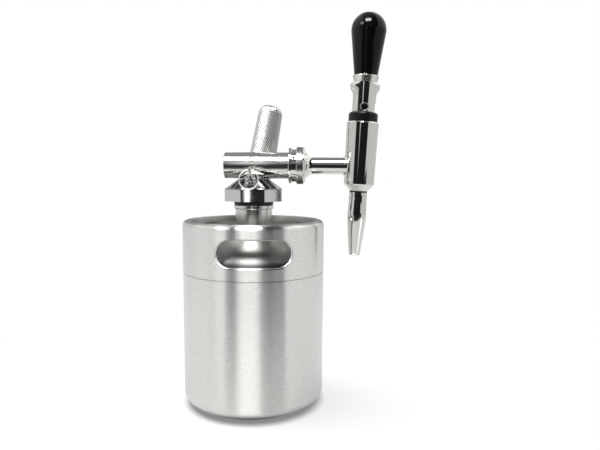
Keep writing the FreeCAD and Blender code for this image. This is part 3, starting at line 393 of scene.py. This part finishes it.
valve_steel = polished("PolishedValveSteel", (0.84, 0.835, 0.82), 0.1)
spring_steel = polished("SpringSteel", (0.62, 0.62, 0.62), 0.25)
tap_steel = turned_metal(
    "MirrorTapSteel", tap_axis, (0.83, 0.82, 0.79), 0.07, 700.0, 3e-6, 1.5, wander=0.02)
knurl_steel = turned_metal("KnurledSteel", tap_axis, (0.86, 0.84, 0.79), 0.26, 1200.0, 4e-6)
coupling_knurl_steel = turned_metal(
    "KnurledCouplingSteel", tube_axis, (0.7, 0.695, 0.68), 0.24, 1500.0, 5e-6)
holder_metal = knurled_aluminium()

FINISHES = {
    "keg_steel": brushed_keg(),
    "polished_steel": tap_steel,
    "tube_steel": brushed_tube(),
    "food_rubber": moulded("SealRubber", (0.012, 0.012, 0.012), 0.5, 2600.0, 2e-5),
    "holder_aluminium": holder_metal,
    "black_plastic": moulded("SatinBlackCollar", (0.009, 0.0095, 0.0095), 0.3, 2200.0, 8e-6, 0.2),
    "black_steel": moulded("BlackSteelScrew", (0.02, 0.02, 0.02), 0.22, 1800.0, 8e-6, 0.8),
    "spring_steel": spring_steel,
    "cartridge_steel": polished("CartridgeSteel", (0.6, 0.6, 0.61), 0.22),
}
OWN_FINISHES = {
    "head_body": turned_head(),
    "relief_body": valve_steel,
    "relief_stem": valve_steel,
    "pull_ring": polished("PolishedWire", (0.95, 0.945, 0.935), 0.42),
    "coupling_nut": turned_metal(
        "TurnedCouplingSteel", tube_axis, (0.8, 0.79, 0.77), 0.1, 1500.0, 5e-6),
    "tube_plug": turned_metal(
        "TurnedPlugSteel", tube_axis, (0.76, 0.755, 0.735), 0.26, 1500.0, 8e-6),
    "ferrule": knurl_steel,
    "tap_knob": moulded("GlossBlackKnob", (0.005, 0.0066, 0.0068), 0.07, 300.0, 1e-6, 0.22),
    "gas_port": valve_steel,
}
for node, part in frame["nodes"].items():
    for place, given in enumerate(part.data.materials):
        finish = OWN_FINISHES.get(node) or FINISHES[given.name.split(".")[0]]
        part.data.materials[place] = finish.material


# Pieces with work on them that the plain forms leave out.

def piece_of(name, mesh, finish):
    """An object of that mesh in that finish."""
    data = bpy.data.meshes.new(name)
    mesh.to_mesh(data)
    mesh.free()
    data.materials.append(finish.material)
    piece = bpy.data.objects.new(name, data)
    bpy.context.scene.collection.objects.link(piece)
    return piece


def smooth_but_sharp_edges(mesh, sharpest):
    """Smooth shading, with the edges that turn more than that left sharp."""
    for face in mesh.faces:
        face.smooth = True
    for edge in mesh.edges:
        edge.smooth = (
            len(edge.link_faces) == 2 and edge.calc_face_angle(0) < math.radians(sharpest))


def made(name, mesh, axis, finish, body, slot, *nodes, sharpest=35):
    """The mesh put on its axis, as a piece that rides on a body and stands for those nodes."""
    bmesh.ops.transform(mesh, matrix=axis.matrix(), verts=mesh.verts)
    bmesh.ops.remove_doubles(mesh, verts=mesh.verts, dist=0.0005 * MM)
    bmesh.ops.recalc_face_normals(mesh, faces=mesh.faces)
    smooth_but_sharp_edges(mesh, sharpest)
    piece = piece_of(name, mesh, finish)
    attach(piece, body)
    if nodes:
        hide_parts(*nodes)
    return piece


def loop_of(mesh, radius, segments, height=0.0):
    """A circle of points and edges round the upright axis, at that height."""
    points = bmesh.ops.create_circle(
        mesh, cap_ends=False, radius=radius, segments=segments)["verts"]
    bmesh.ops.translate(mesh, vec=(0, 0, height), verts=points)
    return points, list({edge for point in points for edge in point.link_edges})


def points_of(loop):
    return list({point for edge in loop for point in edge.verts})


def widest(loop):
    """The largest radius of a loop about the upright axis, in millimetres."""
    return max(math.hypot(point.co.x, point.co.y) for point in points_of(loop)) / MM


def lifted(mesh, edges, rise, turn=0.0, widen=1.0):
    """Draws a closed loop of edges up its axis, turning and widening it; gives the new loop."""
    drawn = bmesh.ops.extrude_edge_only(mesh, edges=edges)["geom"]
    points = [part for part in drawn if isinstance(part, bmesh.types.BMVert)]
    step = Matrix.Rotation(turn, 4, "Z") @ Matrix.Diagonal((widen, widen, 1, 1))
    bmesh.ops.transform(mesh, matrix=Matrix.Translation((0, 0, rise)) @ step, verts=points)
    return [part for part in drawn if isinstance(part, bmesh.types.BMEdge)]


def lifted_along(mesh, loop, profile):
    """Draws a loop through a profile of rises and radii, in millimetres."""
    for rise, radius in profile:
        loop = lifted(mesh, loop, rise * MM, widen=radius / widest(loop))
    return loop


def widened(mesh, points, widen):
    """Moves points out from the upright axis."""
    bmesh.ops.transform(mesh, matrix=Matrix.Diagonal((widen, widen, 1, 1)), verts=points)


def spoke(point, count):
    """The number of the spoke a point of a circle stands on."""
    return round(math.atan2(point.co.y, point.co.x) / (2 * math.pi) * count)


def eased(stations, place):
    """The radius at a place along a smooth curve through the stations."""
    last = len(stations) - 1
    passed = sum(1 for at, radius in stations if at <= place)
    number = max(0, min(last - 1, passed - 1))
    before, start, end, after = (
        stations[max(0, min(last, number + step))] for step in (-1, 0, 1, 2))
    length = end[0] - start[0]
    part = (place - start[0]) / length
    slope_in = (end[1] - before[1]) / (end[0] - before[0]) * length
    slope_out = (after[1] - start[1]) / (after[0] - start[0]) * length
    return (
        (2 * part ** 3 - 3 * part ** 2 + 1) * start[1]
        + (part ** 3 - 2 * part ** 2 + part) * slope_in
        + (3 * part ** 2 - 2 * part ** 3) * end[1]
        + (part ** 3 - part ** 2) * slope_out
    )


def knurled_holder():
    """The cartridge holder with its slanting knurl, domed top and open mouth."""
    teeth = 32
    steps = 180
    slant = math.radians(-250) / steps
    taper = (HOLDER_TOP / HOLDER_MOUTH) ** (1 / steps)
    dome = (
        (0.4, 10.9), (0.8, 10.95), (1.3, 10.7), (1.3, 10.0), (1.2, 8.8),
        (0.9, 7.2), (0.5, 5.4), (0.25, 3.2), (0.05, 0.05),
    )
    mesh = bmesh.new()
    points, mouth = loop_of(mesh, HOLDER_MOUTH, teeth * 4)
    widened(mesh, [point for number, point in enumerate(points) if number % 4 < 2], 0.962)
    loop = mouth
    for step in range(steps):
        loop = lifted(mesh, loop, HOLDER_LENGTH / steps, slant, taper)
    inner_mouth = lifted(mesh, mouth, 0.0, widen=0.93)
    lifted(mesh, inner_mouth, 30 * MM, widen=0.97)
    lifted_along(mesh, loop, dome)
    made("holder_knurled", mesh, holder_axis, holder_metal,
         "holder", "holder_aluminium", "charger_holder", sharpest=50)


def knurled_ferrule():
    """The diamond knurled ferrule under the knob."""
    spokes = 72
    rows = 8
    band = 5.1 * MM
    mesh = bmesh.new()
    loop = loop_of(mesh, 10.15 * MM, spokes, 74.75 * MM)[1]
    lifted(mesh, loop, 0.0, widen=0.5)
    loop = lifted(mesh, loop, 0.35 * MM, widen=10.25 / 10.15)
    for row in range(rows):
        loop = lifted(mesh, loop, band / rows)
        if row < rows - 1:
            tips = [p for p in points_of(loop) if (spoke(p, spokes) + row) % 2 == 0]
            widened(mesh, tips, 1.033)
    loop = lifted(mesh, loop, 0.35 * MM, widen=10.15 / 10.25)
    lifted(mesh, loop, 0.0, widen=0.5)
    made("ferrule_knurled", mesh, tap_axis, knurl_steel,
         "ferrule", "polished_steel", "ferrule", sharpest=60)


def coil_spring(name, node, axis, foot, top, radius, wire, turns):
    """A coil spring between two places along an axis."""
    steps = turns * 20
    rise = (top - foot - 2 * wire) / steps * MM
    start = Matrix.Translation((radius * MM, 0, (foot + wire) * MM))
    mesh = bmesh.new()
    points = bmesh.ops.create_circle(
        mesh, cap_ends=True, radius=wire * MM, segments=10)["verts"]
    upright = start @ Matrix.Rotation(math.radians(90), 4, "X")
    bmesh.ops.transform(mesh, matrix=upright, verts=points)
    bmesh.ops.spin(
        mesh, geom=mesh.verts[:] + mesh.edges[:] + mesh.faces[:], cent=(0, 0, 0),
        axis=(0, 0, 1), dvec=(0, 0, rise), angle=2 * math.pi * turns, steps=steps,
        use_duplicate=False)
    piece = made(name, mesh, axis, spring_steel, "head", "spring_steel", node)
    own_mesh(piece)


def smooth_spout():
    """The spout with its neck, soft waist, belly and long taper, and its bore."""
    outside = (
        (1.5, 8.16), (5.0, 8.2), (10.0, 8.12), (16.0, 8.3), (21.5, 8.48),
        (26.0, 8.4), (31.0, 8.05), (38.0, 7.35), (48.0, 6.3), (58.7, 5.15),
    )
    mouth_and_bore = (
        (-0.35, 5.05), (-0.15, 4.9), (0.0, 4.35), (0.2, 4.2), (36.0, 4.5), (0.0, 0.05))
    mesh = bmesh.new()
    loop = loop_of(mesh, 7.0 * MM, 96, -22.7 * MM)[1]
    loop = lifted(mesh, loop, -1.35 * MM)
    loop = lifted(mesh, loop, 0.0, widen=7.9 / 7.0)
    drop = 1.45
    for step in range(58):
        wanted = drop + (0.25 if step < 1 else 1.0)
        loop = lifted_along(mesh, loop, ((drop - wanted, eased(outside, wanted)),))
        drop = wanted
    lifted_along(mesh, loop, mouth_and_bore)
    return made("spout_turned", mesh, tap_axis, tap_steel,
                "head", "polished_steel", "spout", sharpest=40)


def flared_lever():
    """The rounded flare on each side of the lever's top, round the two ears."""
    reach_at = (
        (60.5, 0.0), (62.5, 0.06), (64.5, 0.3), (66.5, 0.9), (68.2, 1.75), (69.6, 2.45),
        (70.9, 2.8), (72.1, 2.8), (73.2, 2.45), (74.1, 1.7), (74.5, 1.1),
    )
    foot, top = reach_at[0][0], reach_at[-1][0]
    mesh = bmesh.new()
    loop = loop_of(mesh, 10.5 * MM, 128, foot * MM)[1]
    lifted(mesh, loop, 0.0, widen=0.96)
    place = foot
    while place < top - 0.05:
        wanted = min(place + 0.5, top)
        loop = lifted(mesh, loop, (wanted - place) * MM)
        stretch(mesh, points_of(loop), eased(reach_at, wanted) - eased(reach_at, place))
        place = wanted
    lifted(mesh, loop, 0.0, widen=0.5)
    made("lever_flare", mesh, tap_axis, tap_steel, "lever", "polished_steel", sharpest=60)


def stretch(mesh, ring, reach):
    """Draws the two sides of a ring out by that reach, most at the very side."""
    for start, share in ((0.25, 0.2), (0.45, 0.3), (0.62, 0.5)):
        far = max(point.co.x for point in ring)
        pivot = start * far
        widen = Matrix.Diagonal((1 + reach * share * MM / (far - pivot), 1, 1, 1))
        for side in (1, -1):
            beyond = [point for point in ring if side * point.co.x > pivot]
            there = Matrix.Translation((side * pivot, 0, 0))
            back = Matrix.Translation((-side * pivot, 0, 0))
            bmesh.ops.transform(mesh, matrix=there @ widen @ back, verts=beyond)


def pivot_rim():
    """The bright rim round the pivot screw's head."""
    profile = (
        (0.75, 3.35), (0.12, 3.42), (0.1, 3.6), (-0.06, 3.82),
        (-0.2, 3.95), (-0.71, 4.0), (0.0, 3.35),
    )
    mesh = bmesh.new()
    lifted_along(mesh, loop_of(mesh, 3.35 * MM, 64)[1], profile)
    made("pivot_rim", mesh, pivot_axis, tap_steel, "lever", "polished_steel")


def coupling_knurl():
    """The straight knurl round the coupling nut."""
    spokes = 132
    tooth = 1.026
    mesh = bmesh.new()
    loop = loop_of(mesh, 16.3 * MM, spokes, 39.7 * MM)[1]
    loop = lifted(mesh, loop, 0.15 * MM, widen=16.42 / 16.3)
    loop = lifted(mesh, loop, 0.25 * MM)
    widened(mesh, [p for p in points_of(loop) if spoke(p, spokes) % 2], tooth)
    for step in range(4):
        loop = lifted(mesh, loop, 1.4 * MM)
    loop = lifted(mesh, loop, 0.25 * MM)
    widened(mesh, [p for p in points_of(loop) if spoke(p, spokes) % 2], 1 / tooth)
    lifted(mesh, loop, 0.0, widen=0.98)
    made("coupling_knurl", mesh, tube_axis, coupling_knurl_steel,
         "coupling", "polished_steel", sharpest=70)


knurled_holder()
knurled_ferrule()
coil_spring("relief_coil", "relief_spring", valve_axis, foot=-3.1, top=6.2, radius=2.05,
            wire=0.27, turns=6)
coil_spring("check_coil", "check_spring", holder_axis, foot=-11.7, top=-7.4, radius=1.65,
            wire=0.22, turns=4)
spout = smooth_spout()
flared_lever()
pivot_rim()
coupling_knurl()


# Studio: floor, surroundings and lamps.

def sideways_and_ahead(nodes, direction):
    """How far a direction points to the camera's right and towards the camera."""
    facing = Vector((math.cos(CAMERA_SIDE), math.sin(CAMERA_SIDE), 0))
    sideways = UP.cross(facing)
    return (
        nodes.vector("DOT_PRODUCT", direction, tuple(sideways)),
        nodes.vector("DOT_PRODUCT", direction, tuple(facing)),
    )


def studio_sheet(name, place, finish):
    """A level square metre put in its place by that matrix."""
    mesh = bmesh.new()
    bmesh.ops.create_grid(mesh, x_segments=1, y_segments=1, size=0.5)
    bmesh.ops.transform(mesh, matrix=place, verts=mesh.verts)
    sheet = piece_of(name, mesh, finish)
    return sheet


def floor():
    """White paper with the lamps' shadow and painted contact shade near the keg, glowing as painted
    light, and painted near black far in front to every ray but the camera's.
    """
    paper = Finish("WhitePaper", (0.3, 0.3, 0.3), 0.0, 0.9, 0.0)
    place = metres(paper)
    seen = paper.camera_sees()
    distance = paper.vector("LENGTH", place)
    aside, ahead = sideways_and_ahead(paper, place)
    turned = paper.calc("ARCTAN2", aside, ahead)
    angle = paper.calc("ABSOLUTE", paper.calc("SUBTRACT", turned, math.radians(2)))
    # Painted darkness: far in front, in a wedge, the paper turns near black to every ray but the
    # camera's, for the metal to mirror.
    wedge = paper.falling(angle, math.radians(44), math.radians(48), smooth=True)
    dark = paper.product(wedge, paper.rising(distance, 0.30, 0.42, smooth=True))
    dark = paper.product(dark, paper.rest_of(seen))
    tone = paper.spread(seen, 0.3, 0.23)
    light = paper.blend(paper.noise(place, 30.0, 2.0), tone, paper.product(tone, 0.93))
    paper.set(Base_Color=paper.blend(dark, light, (0.02, 0.02, 0.02, 1)))

    # Painted shadow: an Ambient Occlusion node darkens the paper's glow close to the keg, added to
    # the lamps' cast shadow.
    contact = paper.node("AmbientOcclusion", samples=16)
    contact.inputs["Distance"].default_value = 9.5 * MM
    painted_contact_shade = paper.spread(contact.outputs["AO"], 0.3, 1.0, 0.3, 0.9)
    # Painted light: the paper glows, 0.73 to the camera and 0.38 to every other ray, so it lights
    # the pieces from below.
    lift = paper.product(paper.spread(seen, 0.38, 0.73), paper.rest_of(dark))
    lift = paper.glow(paper.product(lift, painted_contact_shade))
    lit = paper.node("AddShader", paper.shader.outputs[0], lift).outputs[0]
    far = paper.product(seen, paper.rising(distance, 0.16, 0.36, smooth=True))
    paper.show(paper.node("MixShader", far, lit, paper.glow(1.0)).outputs[0])
    studio_sheet("studio_floor", Matrix.Diagonal((6, 6, 1, 1)), paper)


def bright_strip(name, middle, width, height, low, high):
    """A narrow upright strip of light that only mirroring pieces show, brighter at its top."""
    strip = Finish(name, (0, 0, 0), 0.0, 0.9, 0.0)
    z = strip.node("SeparateXYZ", metres(strip)).outputs[2]
    foot, top = middle[2] - 0.325 * height, middle[2] + 0.225 * height
    strip.show(strip.glow(strip.spread(z, low, high, foot, top)))
    upright = Matrix.Translation(middle) @ Matrix.Rotation(math.radians(90), 4, "X")
    sheet = studio_sheet(name, upright @ Matrix.Diagonal((width, height, 1, 1)), strip)
    sheet.visible_camera = False
    sheet.visible_diffuse = False
    sheet.visible_shadow = False


# The room round the keg: sides and heights in degrees, how soft its edges are, its level,
# and whether it is kept to the front half.
ROOM = (
    ((48, 135), (12, 62), 4.0, 1.1, False),
    ((-110, -44), (12, 62), 4.0, 0.95, False),
    ((-44, 48), (-95, 85), 1.5, 0.012, True),
    ((-57, 31), (-6, 14), 1.5, 0.012, False),
    ((-75, 34), (8, 14), 1.5, 0.012, False),
    ((31, 48), (-4, 9), 1.5, 0.62, False),
    ((-26, 10), (12, 34), 1.5, 0.21, False),
    ((-26, 10), (42, 76), 1.5, 1.4, True),
    ((153, 156), (-5, 60), 1.0, 0.05, False),
)


def surroundings():
    """White to the camera, and to every other ray a room that is dark behind the camera."""
    world = bpy.data.worlds.new("Studio")
    bpy.context.scene.world = world
    world.use_nodes = True
    sky = Nodes(world.node_tree)
    direction = sky.node("TexCoord").outputs["Generated"]
    aside, ahead = sideways_and_ahead(sky, direction)
    height = sky.node("SeparateXYZ", direction).outputs[2]
    turned = sky.calc("ARCTAN2", aside, sky.calc("ADD", ahead, 1.0))
    angle = sky.product(turned, 360 / math.pi)
    rise = sky.product(sky.calc("ARCSINE", height), 180 / math.pi)
    front = sky.rising(ahead, -0.12, 0.08, smooth=True)

    def between(source, low, high, soft):
        up = sky.rising(source, low - soft, low + soft, smooth=True)
        down = sky.falling(source, high - soft, high + soft, smooth=True)
        return sky.product(up, down)

    climb = sky.rising(rise, 12.0, 45.0, smooth=True)
    shade = sky.blend(climb, (0.62, 0.62, 0.62, 1), (0.29, 0.29, 0.29, 1))
    for sides, heights, soft, level, front_only in ROOM:
        amount = sky.product(between(angle, *sides, soft), between(rise, *heights, soft))
        if front_only:
            amount = sky.product(front, amount)
        shade = sky.blend(amount, shade, (level, level, level, 1))
    background = sky.tree.nodes["Background"]
    sky.feed(background.inputs["Color"], sky.blend(sky.camera_sees(), shade, WHITE))


def lamp(name, place, target, width, height, power, unseen):
    """A rectangular light that faces a target, and is left out of diffuse or of glossy light."""
    light = bpy.data.lights.new(name, "AREA")
    light.shape = "RECTANGLE"
    light.size = width
    light.size_y = height
    light.energy = power
    holder = bpy.data.objects.new(name, light)
    holder.location = place
    facing = Vector(target) - Vector(place)
    holder.rotation_euler = facing.to_track_quat("-Z", "Y").to_euler()
    holder.visible_camera = False
    setattr(holder, "visible_" + unseen, False)
    bpy.context.scene.collection.objects.link(holder)
    return holder


def low_card(spout):
    """A pale card lying in front of the tap, which light linking gives to the spout alone."""
    card = lamp("low_card", (0.25, -0.5, 0.005), (0.25, -0.5, 1.0),
                width=1.4, height=0.62, power=1.9, unseen="diffuse")
    card.rotation_euler = (math.pi, 0, 0)
    mirrored_by = bpy.data.collections.new("mirrored_by")
    mirrored_by.objects.link(spout)
    card.light_linking.receiver_collection = mirrored_by


floor()
bright_strip("tap_strip", (-0.085, -0.56, 0.33), width=0.06, height=0.4, low=0.02, high=1.1)
bright_strip("nut_strip", (-0.0016, -0.056, 0.1915),
             width=0.0046, height=0.015, low=2.0, high=2.2)
surroundings()
lamp("front_window", (-0.084, -0.969, 1.745), (0.0, 0.0, 0.15),
     width=0.9, height=0.62, power=50.0, unseen="diffuse")
lamp("left_window", (-0.975, -0.8, 1.21), (0.1, 0.0, 0.3),
     width=0.56, height=0.36, power=5.0, unseen="diffuse")
lamp("key_lamp", (-0.55, 0.1, 1.7), (0.0, 0.0, 0.0),
     width=1.0, height=1.0, power=40.0, unseen="glossy")
low_card(spout)


# Camera.

def camera():
    lens = bpy.data.cameras.new("camera")
    lens.lens = 33.4
    lens.sensor_width = 36
    viewer = bpy.data.objects.new("camera", lens)
    swing = Matrix.Rotation(math.radians(2.744), 4, "Z")
    tip = Matrix.Rotation(math.radians(84.9), 4, "X")
    roll = Matrix.Rotation(0.006, 4, "Z")
    place = Matrix.Translation((0.0676, -0.5135, 0.2111))
    viewer.matrix_world = place @ swing @ tip @ roll
    bpy.context.scene.collection.objects.link(viewer)
    bpy.context.scene.camera = viewer


camera()
bpy.context.scene.view_settings.view_transform = "Standard"
